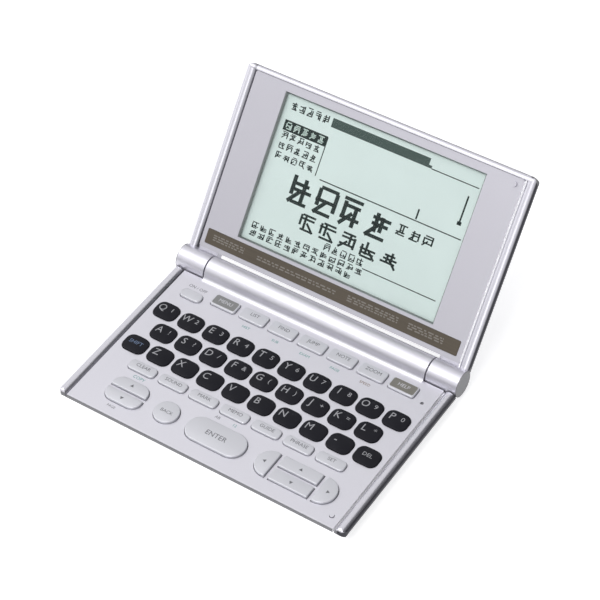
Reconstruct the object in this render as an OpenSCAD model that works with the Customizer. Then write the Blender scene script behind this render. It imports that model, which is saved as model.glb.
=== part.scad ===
// Electronic dictionary: a keyboard half and a display half on a barrel hinge, the lid standing open.
// Origin on the table, in the middle of the whole object as it stands open.
// +X to the user's right, +Y away from the user, +Z up. Millimetres.

/* [Case] */
// Overall width
body_w = 142; // [141:0.5:146]
// Hinge line to the front edge, and hinge line to the top edge of the lid
body_d = 90; // [89.5:0.25:93]
// Deck surface down to the underside of the base
base_t = 7.9; // [7.9:0.1:8.6]
// Bezel surface to the back of the lid
lid_t = 6.4; // [6.4:0.1:7.2]
// Space between deck and bezel when shut
face_gap = 1.5; // [1.5:0.1:1.9]
// Width of each rounded side rail
rail_w = 5.1; // [4.8:0.1:5.1]
// Height of the rails over the deck and over the bezel
rail_h = 0.7; // [0.5:0.05:0.7]
// Shadow gap between a rail and the panel beside it
seam = 0.3; // [0.25:0.05:0.5]
// Corner radius seen from above
corner_r = 3.5; // [2:0.25:4.5]
// Radius of the curve under the front edge of the base
nose_r = 17; // [16:0.5:19]
// Height of the rubber feet
foot_h = 0.5; // [0.4:0.1:1]

/* [Hinge] */
// Angle at which the lid stands, from shut
lid_open = 129; // [95:1:160]
// Radius of the centre barrel and of both knuckles
barrel_r = 5.85; // [5.8:0.05:6]
// Length of the centre barrel
barrel_l = 111.2; // [110:0.2:113]
// Radius of the hinge pins
pin_r = 2; // [1.8:0.1:2.2]
// Radius of the fillet between deck and barrel
fillet_r = 2.5; // [1.5:0.1:2.5]

/* [Letter keys] */
// Room between a side rail and the last letter key of a full row
key_room = 2.71; // [2.6:0.01:3.2]
// Strip of deck and flange room between two keys of a row
key_land = 1.82; // [1.8:0.02:2.2]
// Strip of deck and flange room between two rows
row_land = 2.46; // [2.3:0.02:2.8]
// Corner radius of a letter key
key_r = 3; // [2:0.1:3.6]
// Height of a letter key over the deck
key_h = 1.15; // [0.9:0.05:1.15]
// Radius of the domed key top
key_dome_r = 26; // [24:1:60]
// How far a key goes down
travel = 0.6; // [0.4:0.05:0.65]

/* [Other keys] */
// Height of the function keys over the deck
function_h = 1; // [0.7:0.05:1.1]
// Height of the entry keys over the deck
entry_h = 0.9; // [0.7:0.05:1.1]
// Height of the page, back, enter and cursor keys over the deck
pad_h = 1.15; // [0.8:0.05:1.15]
// Play between a key and its opening, each side
key_gap = 0.25; // [0.2:0.01:0.3]

/* [Display] */
// Display opening to each side of the lid
window_side = 22.4; // [21:0.2:28]
// Display opening to the top edge of the lid
window_top = 6.6; // [6.2:0.1:12]
// Hinge line to the lower edge of the opening
window_v = 18.2; // [17.8:0.1:18.8]
// Height of the trim strip
strip_h = 6.6; // [5:0.1:6.8]

/* [Power] */
// Diameter of one AAA cell
cell_d = 10.5; // [10:0.1:10.5]
// Length of one AAA cell with its button
cell_l = 44.5; // [44:0.1:44.5]

/* [Hidden] */
$fn = 48;
wide = body_w / 142;
deep = body_d / 90;
tall = base_t / 7.9;
deck_z = foot_h + base_t;
axis_n = face_gap / 2;
rail_r = rail_w / 2 - 0.05;
edge_n = rail_r - rail_h;
base_low_r = 8.5;
lid_low_r = 6.5;
lid_nose_r = 13;
panel_w = body_w - 2 * rail_w - 2 * seam;
pocket_w = body_w - 2 * rail_w;
deck_t = 1.5;
wall = 1.4;
swing = 0.6;
cavity_back = -7.2;
cavity_front = -body_d + 1.6;
cavity_w = pocket_w - 1.4;
cover_t = 1.15;
bay_r = cell_d / 2 + 0.15;
bay_half = cell_l + 2;
cell_y = -0.5;
cell_n = -base_t + cover_t + 0.15 + bay_r;
knuckle_x = barrel_l / 2 + 0.7;
web_x = pocket_w / 2 - 0.4;
pin_in = max(barrel_l / 2 - 4.1, bay_half + 0.6);
pin_out = body_w / 2 - 3.5;
pin_short = knuckle_x + 0.24 * (web_x - knuckle_x);
ribbon_w = 0.38 * (web_x - knuckle_x);
ribbon_x = (knuckle_x + web_x) / 2;
ribbon_end = pin_in - 0.38 * (pin_in - bay_half);
window_w = body_w - 2 * window_side;
window_h = body_d - window_v - window_top;
pitch_x = (body_w - 2 * (rail_w + key_room) + key_land) / 10;
pitch_y = 11.06 * deep;
key_w = pitch_x - key_land;
key_d = pitch_y - row_land;
row_1 = -30.4 * deep;
row_f = -13.9 * deep;
row_e = -62.2 * deep;
row_p = -76.3 * deep;
flange_top = -deck_t - 0.1;
flange_t = 0.6;
stem_n = -3.2 * tall;
sheet_n = -3.9 * tall;
board_n = -4.4 * tall;
board_t = 0.8 * tall;
board_x = body_w / 2 - 8.5;
board_y = -body_d + 8;
board_d = cavity_back - 1.4 - board_y;
foot_x = body_w / 2 - 12;
foot_y = [-1.5, -body_d + 20];
lid_v0 = 7.2;
rim_w = 2.1;
strip_v = window_v - 8.8;
screw_x = body_w / 2 - 10.2;
screw_xy = [for (y = [cavity_back - 2.6, row_1 - pitch_y]) for (x = [-screw_x, screw_x]) [x, y]];
lid_screw_x = [-36 * wide, 0, 36 * wide];
letter_rows = [10, 9, 10];
function_x = [for (i = [0:6]) (-38.6 + 14.9 * i) * wide];
entry_x = [for (i = [0:6]) 15.6 * (i - 3) * wide];
power_xy = [-54 * wide, -17.4 * deep];
back_xy = [-24.2 * wide, row_p];
enter_xy = [0.5 * wide, row_p];
page_xy = [-44.4 * wide, row_p];
cursor_xy = [39.4 * wide, row_p];
page_y = 3.7 * deep;
cursor_y = 3.7 * deep;
cursor_x = 15 * wide;
reset_xy = [body_w / 2 - 9.5, -16.9 * deep];
switch_xy = [body_w / 2 - 9.2, -body_d + 5.4];
tilt = 180 - lid_open;
lid_nose_in = sqrt(lid_nose_r * lid_nose_r - pow(lid_nose_r - lid_t + edge_n, 2));
rear_y = (body_d - lid_nose_in) * cos(tilt) - (lid_nose_r - lid_t - axis_n) * sin(tilt) + lid_nose_r;
origin_y = (body_d - rear_y) / 2;
silver = [0.80, 0.79, 0.83];
pale = [0.86, 0.86, 0.88];
dark = [0.07, 0.07, 0.09];

// ---- shared shapes ----

// Rectangle with round corners, drawn from true circles
module rounded(w, d, r) {
  square([w - 2 * r, d], center = true);
  square([w, d - 2 * r], center = true);
  for (x = [-1, 1]) for (y = [-1, 1])
    translate([x * (w / 2 - r), y * (d / 2 - r)]) circle(r = r);
}

// Base parts are drawn from the hinge line forward, with the deck surface at zero height
module on_deck() { translate([0, origin_y, deck_z]) children(); }

// Lid parts are drawn along the lid: Y from the hinge line, Z out of the bezel, zero on the hinge line
module on_lid() { translate([0, origin_y, deck_z + axis_n]) rotate([tilt, 0, 0]) children(); }

// Lid parts measured from the bezel surface
module on_bezel() { on_lid() translate([0, 0, -axis_n]) children(); }

// Bar along X whose section is drawn in Y and Z
module along_x(x0, x1) {
  translate([x0, 0, 0]) rotate([90, 0, 90]) linear_extrude(x1 - x0) children();
}

// Bar along Y whose section is drawn in X and Z
module along_y(y0, y1) {
  translate([0, y1, 0]) rotate([90, 0, 0]) linear_extrude(y1 - y0) children();
}

// Cross section of one case half: rounded rails on top, a large round under each side
module rail_section(t, low_r) {
  drop = t - edge_n;
  inset = sqrt(low_r * low_r - (low_r - drop) * (low_r - drop));
  translate([-body_w / 2 + rail_r, -edge_n]) square([body_w - 2 * rail_r, rail_r]);
  for (s = [-1, 1]) translate([s * (body_w / 2 - rail_r), -edge_n]) circle(r = rail_r);
  intersection() {
    translate([-body_w / 2, -t]) square([body_w, drop + 0.01]);
    union() {
      translate([-body_w / 2 + inset, -t]) square([body_w - 2 * inset, drop + 1]);
      for (s = [-1, 1]) translate([s * (body_w / 2 - inset), low_r - t]) circle(r = low_r, $fn = 96);
    }
  }
}

// Side view of one case half from the far edge (low Y) to the hinge: a nose curve under the far edge
module nose_section(length, back, t, round_r, top_r, back_r) {
  drop = t - edge_n;
  inset = sqrt(round_r * round_r - (round_r - drop) * (round_r - drop));
  translate([-length + top_r, -edge_n]) square([length + back - top_r, rail_r]);
  translate([-length, -edge_n]) square([top_r + 1, rail_r - top_r]);
  translate([-length + top_r, rail_h - top_r]) circle(r = top_r);
  intersection() {
    translate([-length, -t]) square([length + back, drop + 0.01]);
    union() {
      translate([-length + inset, -t]) square([length + back - inset - back_r, drop + 1]);
      translate([-length + inset, -t + back_r]) square([length + back - inset, drop + 1]);
      translate([back - back_r, -t + back_r]) circle(r = back_r);
      translate([-length + inset, round_r - t]) circle(r = round_r, $fn = 160);
    }
  }
}

// What comes off the flat inner half of both rails, which falls away in a round to a ledge at the seam
module rail_hollow(y0, y1) {
  for (s = [0, 1]) mirror([s, 0, 0]) along_y(y0, y1) difference() {
    translate([pocket_w / 2 - 0.2, -1]) square([0.2 + rail_w - rail_r, 3]);
    translate([body_w / 2 - rail_r, -edge_n]) circle(r = rail_r);
  }
}

// ---- key outlines, each grown by e ----

module letter_outline(e) { rounded(key_w + 2 * e, key_d + 2 * e, key_r + e); }
module power_outline(e) { rounded(10.6 * wide + 2 * e, 5 * deep + 2 * e, 2.3 * deep + e); }
module function_outline(e) { rounded(12.6 * wide + 2 * e, 6.3 * deep + 2 * e, 1.3 + e); }
module entry_outline(e) { rounded(13.4 * wide + 2 * e, 5.2 * deep + 2 * e, 1.9 + e); }
module back_outline(e) { circle(r = 5.6 * deep + e, $fn = 64); }
module enter_outline(e) { rounded(28.4 * wide + 2 * e, 12.6 * deep + 2 * e, 6.2 * deep + e); }

// One half of the page pair: side 1 is page up, side -1 is page down
module page_outline(e, side) {
  intersection() {
    rounded(17.6 * wide + 2 * e, 13.2 * deep + 2 * e, 4.6 + e);
    translate([0, side * (10 + 0.8 * deep - e)]) square([40, 20], center = true);
  }
}

// One key of the cursor pad: 0 left, 1 up, 2 down, 3 right
module cursor_outline(e, which) {
  intersection() {
    rounded(37.8 * wide + 2 * e, 13.2 * deep + 2 * e, 6.5 * deep + e);
    if (which == 0) translate([-20 - 11.2 * wide + e, 0]) square([40, 20], center = true);
    if (which == 3) translate([20 + 11.2 * wide - e, 0]) square([40, 20], center = true);
    if (which == 1) translate([0, 10 + 0.8 * deep - e]) square([18.6 * wide + 2 * e, 20], center = true);
    if (which == 2) translate([0, -10 - 0.8 * deep + e]) square([18.6 * wide + 2 * e, 20], center = true);
  }
}

// ---- key solids ----

// Flange under the deck and round stem down to the rubber mat
module key_foot(sx, sy) {
  translate([sx, sy, stem_n]) cylinder(r = 1.4, h = flange_top - stem_n);
}

// Key with a flat top: children 0 is the cap outline, children 1 the flange outline
module flat_key(h, sx = 0, sy = 0) {
  translate([0, 0, flange_top - 0.01]) linear_extrude(h - flange_top + 0.01) children(0);
  translate([0, 0, flange_top - flange_t]) linear_extrude(flange_t) children(1);
  key_foot(sx, sy);
}

module letter_key(row, col) {
  x = (col - (letter_rows[row] - 1) / 2) * pitch_x;
  color(dark) on_deck() translate([x, row_1 - row * pitch_y, 0]) {
    intersection() {
      translate([0, 0, flange_top - 0.01]) linear_extrude(key_h + 3) letter_outline(0);
      translate([0, 0, key_h - key_dome_r]) sphere(r = key_dome_r, $fn = 96);
    }
    translate([0, 0, flange_top - flange_t]) linear_extrude(flange_t) letter_outline(0.62);
    key_foot(0, 0);
  }
}

module power_key() {
  color(pale) on_deck() translate([power_xy[0], power_xy[1], 0]) flat_key(function_h) {
    power_outline(0);
    power_outline(0.6);
  }
}

module page_key(side) {
  color(pale) on_deck() translate([page_xy[0], page_xy[1], 0]) flat_key(pad_h, 0, side * page_y) {
    page_outline(0, side);
    page_outline(0.5, side);
  }
}

module back_key() {
  color(pale) on_deck() translate([back_xy[0], back_xy[1], 0]) flat_key(pad_h) {
    back_outline(0);
    back_outline(0.6);
  }
}

module enter_key() {
  color(pale) on_deck() translate([enter_xy[0], enter_xy[1], 0]) flat_key(pad_h) {
    enter_outline(0);
    enter_outline(0.6);
  }
}

module cursor_key(which) {
  sx = which == 0 ? -cursor_x : which == 3 ? cursor_x : 0;
  sy = which == 1 ? cursor_y : which == 2 ? -cursor_y : 0;
  color(pale) on_deck() translate([cursor_xy[0], cursor_xy[1], 0]) flat_key(pad_h, sx, sy) {
    cursor_outline(0, which);
    cursor_outline(0.5, which);
  }
}

// Seven caps on one moulded comb: a runner bar under the deck and one spring arm for each cap
module comb(xs, y, h, bar_y, bar_w) {
  for (x = xs) translate([x, y, 0]) {
    translate([0, 0, flange_top - flange_t]) linear_extrude(h - flange_top + flange_t) children(0);
    key_foot(0, 0);
  }
  arm_y = min(y, bar_y);
  for (x = xs) translate([x - 1.2, arm_y, flange_top - flange_t])
    cube([2.4, abs(bar_y - y), flange_t]);
  translate([xs[0] - bar_w / 2, bar_y - 0.5, flange_top - flange_t])
    cube([xs[6] - xs[0] + bar_w, 1, flange_t]);
}

module function_keys() {
  color(pale) on_deck() comb(function_x, row_f, function_h, cavity_back - 2.2, 11 * wide) function_outline(0);
}

module entry_keys() {
  color(pale) on_deck() comb(entry_x, row_e, entry_h, row_e - 4.7 * deep, 12 * wide) entry_outline(0);
}

module reset_button() {
  color([0.55, 0.55, 0.58]) on_deck() translate([reset_xy[0], reset_xy[1], 0]) {
    translate([0, 0, flange_top]) cylinder(r = 0.55, h = -flange_top - 0.6);
    translate([0, 0, flange_top - flange_t]) cylinder(r = 1.3, h = flange_t);
    translate([0, 0, stem_n]) cylinder(r = 0.8, h = flange_top - stem_n);
  }
}

// Small sprung button that the peg on the bezel meets when the lid is shut
module lid_switch() {
  color(silver) on_deck() translate([switch_xy[0], switch_xy[1], 0]) {
    translate([0, 0, flange_top - 0.01]) cylinder(r = 0.9, h = 0.45 - flange_top);
    translate([0, 0, flange_top - flange_t]) cylinder(r = 1.5, h = flange_t);
    translate([0, 0, stem_n]) cylinder(r = 0.8, h = flange_top - stem_n);
  }
}

// Spots where something presses on the board, for the mat
key_spots = concat(
  [for (r = [0:2]) for (c = [0:letter_rows[r] - 1])
    [(c - (letter_rows[r] - 1) / 2) * pitch_x, row_1 - r * pitch_y]],
  [for (x = function_x) [x, row_f]],
  [for (x = entry_x) [x, row_e]],
  [power_xy, back_xy, enter_xy, page_xy + [0, page_y], page_xy - [0, page_y]],
  [for (s = [-1, 1]) cursor_xy + [s * cursor_x, 0]],
  [for (s = [-1, 1]) cursor_xy + [0, s * cursor_y]]
);

// ---- base half ----

// Outside of the base half, rails and all
module base_outside() {
  intersection() {
    along_y(-body_d, barrel_r) rail_section(base_t, base_low_r);
    along_x(-body_w / 2, body_w / 2) nose_section(body_d, barrel_r, base_t, nose_r, 2, 3);
    translate([0, (barrel_r - body_d) / 2, -base_t - 1])
      linear_extrude(base_t + 3) rounded(body_w, body_d + barrel_r, corner_r);
  }
}

// Room for the turning knuckles at both rear corners
module knuckle_room() {
  for (s = [0, 1]) mirror([s, 0, 0]) {
    translate([barrel_l / 2, 0, axis_n]) rotate([0, 90, 0])
      cylinder(r = barrel_r + swing, h = body_w, $fn = 96);
    translate([barrel_l / 2, 0, axis_n - barrel_r - swing]) cube([body_w, 30, 30]);
  }
}

module battery_room() {
  translate([-bay_half, cell_y, cell_n]) rotate([0, 90, 0]) cylinder(r = bay_r, h = 2 * bay_half, $fn = 96);
  translate([-bay_half, cell_y - bay_r, -base_t - 1]) cube([2 * bay_half, 2 * bay_r, base_t + 1 + cell_n]);
}

module upper_case() {
  yf = -sqrt(pow(barrel_r + fillet_r, 2) - pow(axis_n - fillet_r, 2));
  nf = axis_n + (fillet_r - axis_n) * barrel_r / (barrel_r + fillet_r);
  color(silver) on_deck() difference() {
    union() {
      // deck plate with a softened front edge
      intersection() {
        along_x(-panel_w / 2, panel_w / 2) union() {
          translate([-body_d, -deck_t]) square([body_d, deck_t - 0.5]);
          translate([-body_d + 0.5, -deck_t]) square([body_d - 0.5, deck_t]);
          translate([-body_d + 0.5, -0.5]) circle(r = 0.5);
        }
        translate([0, -body_d / 2 + 4, -5]) linear_extrude(10) rounded(body_w, body_d + 8, corner_r);
      }
      // centre barrel, its foot and the fillet down to the deck
      along_x(-barrel_l / 2, barrel_l / 2) union() {
        translate([0, axis_n]) circle(r = barrel_r, $fn = 128);
        translate([-5.5, -deck_t]) square([5.5 + barrel_r, deck_t + axis_n]);
        difference() {
          translate([yf, -0.2]) square([-yf - 5, nf + 0.2]);
          translate([yf, fillet_r]) circle(r = fillet_r, $fn = 64);
        }
      }
      // locating lip inside the lower case
      difference() {
        translate([-cavity_w / 2 + 0.2, cavity_front + 1.3, -deck_t - 0.8])
          cube([cavity_w - 0.4, cavity_back - cavity_front - 1.5, 0.9]);
        translate([-cavity_w / 2 + 1, cavity_front + 2.1, -deck_t - 2])
          cube([cavity_w - 2, cavity_back - cavity_front - 3.3, 4]);
      }
      // screw bosses
      for (p = screw_xy) translate([p[0], p[1], -base_t + 2.6])
        cylinder(r = 2.3, h = base_t - 2.5 - deck_t);
    }
    // nothing of the barrel under the parting plane at the back
    translate([-body_w, cavity_back, -20]) cube([2 * body_w, 20, 20 - deck_t]);
    knuckle_room();
    battery_room();
    for (s = [-1, 1]) translate([s * (pin_in - 0.1), 0, axis_n]) rotate([0, s * 90, 0])
      cylinder(r = pin_r + 0.03, h = barrel_l);
    // way for the display ribbon out of the left pin
    translate([-pin_in + 0.1, -2, -deck_t - 1])
      cube([0.64 * (pin_in - bay_half), 4, deck_t + 1 + axis_n + 2]);
    for (p = screw_xy) translate([p[0], p[1], -base_t]) cylinder(r = 0.95, h = base_t - 0.9);
    // openings for the keys
    translate([0, 0, -deck_t - 1]) linear_extrude(deck_t + 2) {
      for (r = [0:2]) for (c = [0:letter_rows[r] - 1])
        translate([(c - (letter_rows[r] - 1) / 2) * pitch_x, row_1 - r * pitch_y]) letter_outline(key_gap);
      for (x = function_x) translate([x, row_f]) function_outline(key_gap);
      for (x = entry_x) translate([x, row_e]) entry_outline(key_gap);
      translate(power_xy) power_outline(key_gap);
      translate(back_xy) back_outline(key_gap);
      translate(enter_xy) enter_outline(key_gap);
      translate(page_xy) {
        page_outline(key_gap, 1);
        page_outline(key_gap, -1);
      }
      translate(cursor_xy) for (i = [0:3]) cursor_outline(key_gap, i);
      translate(reset_xy) circle(r = 0.75);
      translate(switch_xy) circle(r = 1.1);
    }
  }
}

module lower_case() {
  floor_n = -base_t + wall;
  drop = base_t - edge_n;
  inset = sqrt(nose_r * nose_r - (nose_r - drop) * (nose_r - drop));
  color(silver) on_deck() difference() {
    union() {
      difference() {
        base_outside();
        // bed of the deck panel between the rails
        translate([-pocket_w / 2, -body_d - 1, -deck_t - 0.05]) cube([pocket_w, body_d + 20, 10]);
        rail_hollow(-body_d - 1, 20);
        // main cavity, following the nose
        intersection() {
          translate([-cavity_w / 2, cavity_front, floor_n])
            cube([cavity_w, cavity_back - cavity_front, base_t]);
          along_x(-body_w / 2, body_w / 2) union() {
            translate([-body_d + inset, nose_r - base_t]) circle(r = nose_r - wall, $fn = 160);
            translate([-body_d + inset, -base_t]) square([body_d, 2 * base_t]);
          }
        }
      }
      // screw pillars and posts under the board
      for (p = screw_xy) translate([p[0], p[1], -base_t + 0.3]) cylinder(r = 2.6, h = 2.25);
      for (x = [-40, 0, 40]) for (y = [-24, -68]) translate([x * wide, y * deep, floor_n - 0.2])
        cylinder(r = 1.6, h = board_n - board_t - floor_n + 0.2);
    }
    knuckle_room();
    battery_room();
    // opening and side grooves of the battery cover
    translate([-bay_half, cell_y + bay_r - 1, -base_t - 1]) cube([2 * bay_half, 20, 1 + base_t - 4.6]);
    for (s = [-1, 1]) translate([s * (bay_half + 0.45) - 1, cell_y - bay_r, -base_t + 0.5])
      cube([2, 20, 0.75]);
    for (p = screw_xy) translate([p[0], p[1], -base_t - 1]) {
      cylinder(r = 1.1, h = 6);
      cylinder(r = 2.05, h = 2.7);
    }
    for (x = [-foot_x, foot_x]) for (y = foot_y) translate([x, y, -base_t - 0.01])
      cylinder(r = 3.05, h = 0.51);
  }
}

module battery_cover() {
  color(silver) on_deck() difference() {
    union() {
      intersection() {
        base_outside();
        union() {
          translate([-bay_half + 0.15, cell_y - bay_r + 0.15, -base_t - 1])
            cube([2 * bay_half - 0.3, 20, 1 + cover_t]);
          translate([-bay_half + 0.15, cell_y + bay_r, -base_t - 1])
            cube([2 * bay_half - 0.3, 20, 1 + base_t - 4.75]);
        }
      }
      for (s = [-1, 1]) translate([s * (bay_half + 0.2) - 0.95, cell_y - bay_r + 0.15, -base_t + 0.6])
        cube([1.9, 10, 0.55]);
    }
    // finger grip
    for (i = [0:4]) translate([-7, -3.6 + 1.4 * i, -base_t - 0.1]) cube([14, 0.6, 0.4]);
  }
}

module batteries() {
  color([0.75, 0.6, 0.2]) on_deck() for (i = [0, 1])
    translate([(i - 1) * cell_l + 0.02, cell_y, cell_n]) rotate([0, 90, 0]) {
      cylinder(d = cell_d, h = cell_l - 1.2, $fn = 64);
      cylinder(r = 1.9, h = cell_l - 0.04);
    }
}

module battery_contacts() {
  color([0.8, 0.8, 0.78]) on_deck() for (s = [0, 1]) mirror([s, 0, 0]) {
    translate([bay_half - 0.45, cell_y - 3.7, cell_n - 3.7]) cube([0.4, 7.4, 7.4]);
    translate([cell_l + 0.05, cell_y, cell_n]) rotate([0, 90, 0])
      cylinder(r = 2.4 + s, h = bay_half - 0.4 - cell_l);
  }
}

module key_mat() {
  color([0.5, 0.52, 0.55]) on_deck() difference() {
    union() {
      translate([-board_x, board_y, board_n + 0.02]) cube([2 * board_x, board_d, sheet_n - board_n - 0.02]);
      for (p = key_spots) translate([p[0], p[1], sheet_n - 0.1]) cylinder(r = 2.8, h = 1.05);
    }
    for (p = key_spots) translate([p[0], p[1], sheet_n]) cylinder(r = 1.75, h = 2);
    for (p = screw_xy) translate([p[0], p[1], -10]) cylinder(r = 3, h = 20);
  }
}

module main_board() {
  color([0.1, 0.38, 0.2]) on_deck() difference() {
    union() {
      translate([-board_x, board_y, board_n - board_t]) cube([2 * board_x, board_d, board_t]);
      for (c = [[-24, -40, 14, 14], [8, -42, 10, 10], [26, -36, 8, 12], [-50, -46, 6, 9], [46, -44, 9, 4]])
        translate([c[0] * wide, c[1] * deep, board_n - board_t - 0.95])
          linear_extrude(1) square([c[2] * wide, c[3] * deep], center = true);
    }
    for (p = screw_xy) translate([p[0], p[1], -10]) cylinder(r = 3, h = 20);
  }
}

module rubber_feet() {
  color([0.15, 0.15, 0.16]) for (x = [-foot_x, foot_x]) for (y = foot_y)
    translate([x, origin_y + y, 0]) cylinder(r = 3, h = foot_h + 0.48);
}

// Cross-recess screw, head down
module screw(head_r, head_h, shank_r, shank_l) {
  difference() {
    union() {
      cylinder(r = head_r, h = head_h);
      cylinder(r = shank_r, h = head_h + shank_l);
    }
    for (a = [0, 90]) rotate([0, 0, a]) translate([-head_r * 0.6, -0.2, -0.1])
      cube([head_r * 1.2, 0.4, head_h * 0.5 + 0.1]);
  }
}

module case_screws() {
  color([0.7, 0.7, 0.72]) on_deck() for (p = screw_xy) translate([p[0], p[1], -base_t + 0.2])
    screw(1.9, 1.45, 0.9, base_t - 3.2);
}

// Hollow, for the ribbon to pass through
module hinge_pin_left() {
  color([0.62, 0.62, 0.64]) on_deck() translate([-pin_short, 0, axis_n]) rotate([0, 90, 0]) difference() {
    cylinder(r = pin_r, h = pin_short - pin_in);
    translate([0, 0, -1]) cylinder(r = pin_r - 0.6, h = pin_short - pin_in + 2);
  }
}

module hinge_pin_right() {
  color([0.62, 0.62, 0.64]) on_deck() translate([pin_in, 0, axis_n]) rotate([0, 90, 0])
    cylinder(r = pin_r, h = pin_out - pin_in);
}

// ---- display half ----

// Outside of the display half, with its rails and webs running down to the knuckles
module lid_outside() {
  // back corner of the lid at the hinge, and where its tangent touches the knuckle
  bv = lid_v0 + 1.2;
  bz = -axis_n - lid_t;
  ang = atan2(bz, bv) - acos(barrel_r / norm([bv, bz]));
  intersection() {
    along_y(-2, body_d) rail_section(lid_t, lid_low_r);
    union() {
      mirror([0, 1, 0]) along_x(-body_w / 2, body_w / 2)
        nose_section(body_d, -lid_v0, lid_t, lid_nose_r, 1.8, 1.6);
      translate([0, 0, axis_n]) for (s = [0, 1]) mirror([s, 0, 0]) along_x(knuckle_x, body_w / 2 - 0.2)
        polygon([
          [0, 0], [lid_v0 + 1.3, 0], [lid_v0 + 1.3, bz + 1], [bv, bz],
          [barrel_r * cos(ang), barrel_r * sin(ang)]
        ]);
    }
    translate([0, body_d / 2 - 4, -lid_t - 1])
      linear_extrude(lid_t + 3) rounded(body_w, body_d + 8, corner_r);
  }
}

module lid_cover() {
  floor_n = -lid_t + 1.3;
  color(silver) difference() {
    union() {
      on_bezel() difference() {
        lid_outside();
        // bed of the bezel, then the space behind it
        translate([-pocket_w / 2, 0, -wall - 0.05]) cube([pocket_w, body_d - rim_w, 10]);
        rail_hollow(-3, body_d - rim_w);
        translate([-cavity_w / 2, lid_v0 + 1.3, floor_n]) cube([cavity_w, body_d - rim_w - lid_v0 - 2.3, 10]);
      }
      on_bezel() {
        for (x = lid_screw_x) translate([x, strip_v + strip_h / 2, floor_n - 0.1])
          cylinder(r = 2, h = -wall - floor_n);
        for (x = [-46, 46]) for (v = [22, 50, 80]) translate([x * wide, v * deep, floor_n - 0.1])
          cylinder(r = 2, h = -wall - 2.25 - floor_n);
      }
      on_lid() for (s = [0, 1]) mirror([s, 0, 0]) translate([knuckle_x, 0, 0]) rotate([0, 90, 0])
        cylinder(r = barrel_r, h = body_w / 2 - 0.2 - knuckle_x, $fn = 128);
    }
    on_lid() {
      for (s = [-1, 1]) translate([s * (knuckle_x - 1), 0, 0]) rotate([0, s * 90, 0])
        cylinder(r = pin_r + 0.05, h = pin_out + 1.3 - knuckle_x);
      // bed of the bezel across the webs, and the way of the display ribbon
      translate([-pocket_w / 2, barrel_r + 0.1, -axis_n - wall - 0.05]) cube([pocket_w, 20, 20]);
      translate([-ribbon_x - ribbon_w / 2 - 0.4, -1.2, -4.2 - axis_n]) cube([ribbon_w + 0.8, 12, 0.8]);
      translate([-ribbon_x - ribbon_w / 2 - 0.4, -1.2, -4.2 - axis_n])
        cube([ribbon_w + 0.8, 2.4, 4.2 + axis_n]);
    }
    on_bezel() for (x = lid_screw_x) translate([x, strip_v + strip_h / 2, floor_n + 0.3])
      cylinder(r = 0.95, h = 10);
  }
}

module lid_bezel() {
  top_v = body_d - rim_w - 0.3;
  color([0.74, 0.73, 0.77]) on_bezel() difference() {
    union() {
      translate([0, (lid_v0 + top_v) / 2, -wall]) linear_extrude(wall) rounded(panel_w, top_v - lid_v0, 1);
      // locating lip inside the cover
      difference() {
        translate([-cavity_w / 2 + 0.2, lid_v0 + 1.5, -wall - 1.2])
          cube([cavity_w - 0.4, top_v - lid_v0 - 2.5, 1.3]);
        translate([-cavity_w / 2 + 1.2, lid_v0 + 2.5, -wall - 2])
          cube([cavity_w - 2.4, top_v - lid_v0 - 4.5, 4]);
      }
      // peg for the lid switch
      translate([switch_xy[0], -switch_xy[1], -0.1]) cylinder(r = 1.2, h = 0.1 + face_gap - 0.6);
    }
    // display opening with sloped walls
    intersection() {
      along_y(0, body_d) polygon([
        [-window_w / 2, -3], [window_w / 2, -3], [window_w / 2, -1], [window_w / 2 + 1, 0.5],
        [-window_w / 2 - 1, 0.5], [-window_w / 2, -1]
      ]);
      along_x(-body_w / 2, body_w / 2) polygon([
        [window_v, -3], [window_v + window_h, -3], [window_v + window_h, -1], [window_v + window_h + 1, 0.5],
        [window_v - 1, 0.5], [window_v, -1]
      ]);
    }
    // bed of the trim strip and its screws
    translate([0, strip_v + strip_h / 2, -0.5]) linear_extrude(2) rounded(panel_w - 4, strip_h + 0.2, 0.6);
    for (x = lid_screw_x) translate([x, strip_v + strip_h / 2, -5]) {
      cylinder(r = 1.1, h = 10);
      translate([0, 0, 4.02]) cylinder(r = 1.9, h = 3);
    }
  }
}

module trim_strip() {
  color([0.33, 0.29, 0.24]) on_bezel() translate([0, strip_v + strip_h / 2, -0.5])
    linear_extrude(0.58) rounded(panel_w - 4.2, strip_h, 0.5);
}

module display_window() {
  color([0.85, 0.95, 0.92, 0.35]) on_bezel()
    translate([-window_w / 2 - 2, window_v - 1.5, -wall - 0.72]) cube([window_w + 4, window_h + 3, 0.7]);
}

module lcd_panel() {
  color([0.8, 0.88, 0.85]) on_bezel()
    translate([-window_w / 2 - 3.5, window_v - 2.2, -wall - 2.2]) cube([window_w + 7, window_h + 3.6, 1.45]);
}

module display_ribbon() {
  left = -ribbon_x - ribbon_w / 2;
  tail = -window_w / 2 + 4.4;
  color([0.75, 0.45, 0.15]) on_lid() {
    translate([-ribbon_x, 0, 0]) rotate([0, 90, 0]) cylinder(r = 1.1, h = ribbon_x - ribbon_end);
    translate([left, -0.9, -3.8 - axis_n]) cube([ribbon_w, 1.8, 3.8 + axis_n]);
    translate([left, -0.9, -3.95 - axis_n]) cube([ribbon_w, 11.4, 0.3]);
    translate([left, 9, -3.95 - axis_n]) cube([tail - left, 1.5, 0.3]);
    translate([tail - 3.8, 9, -3.95 - axis_n]) cube([3.8, 10.5, 0.3]);
  }
}

module lid_screws() {
  color([0.7, 0.7, 0.72]) on_bezel() for (x = lid_screw_x) translate([x, strip_v + strip_h / 2, -0.55])
    mirror([0, 0, 1]) screw(1.8, 0.4, 0.9, 2.8);
}

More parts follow.
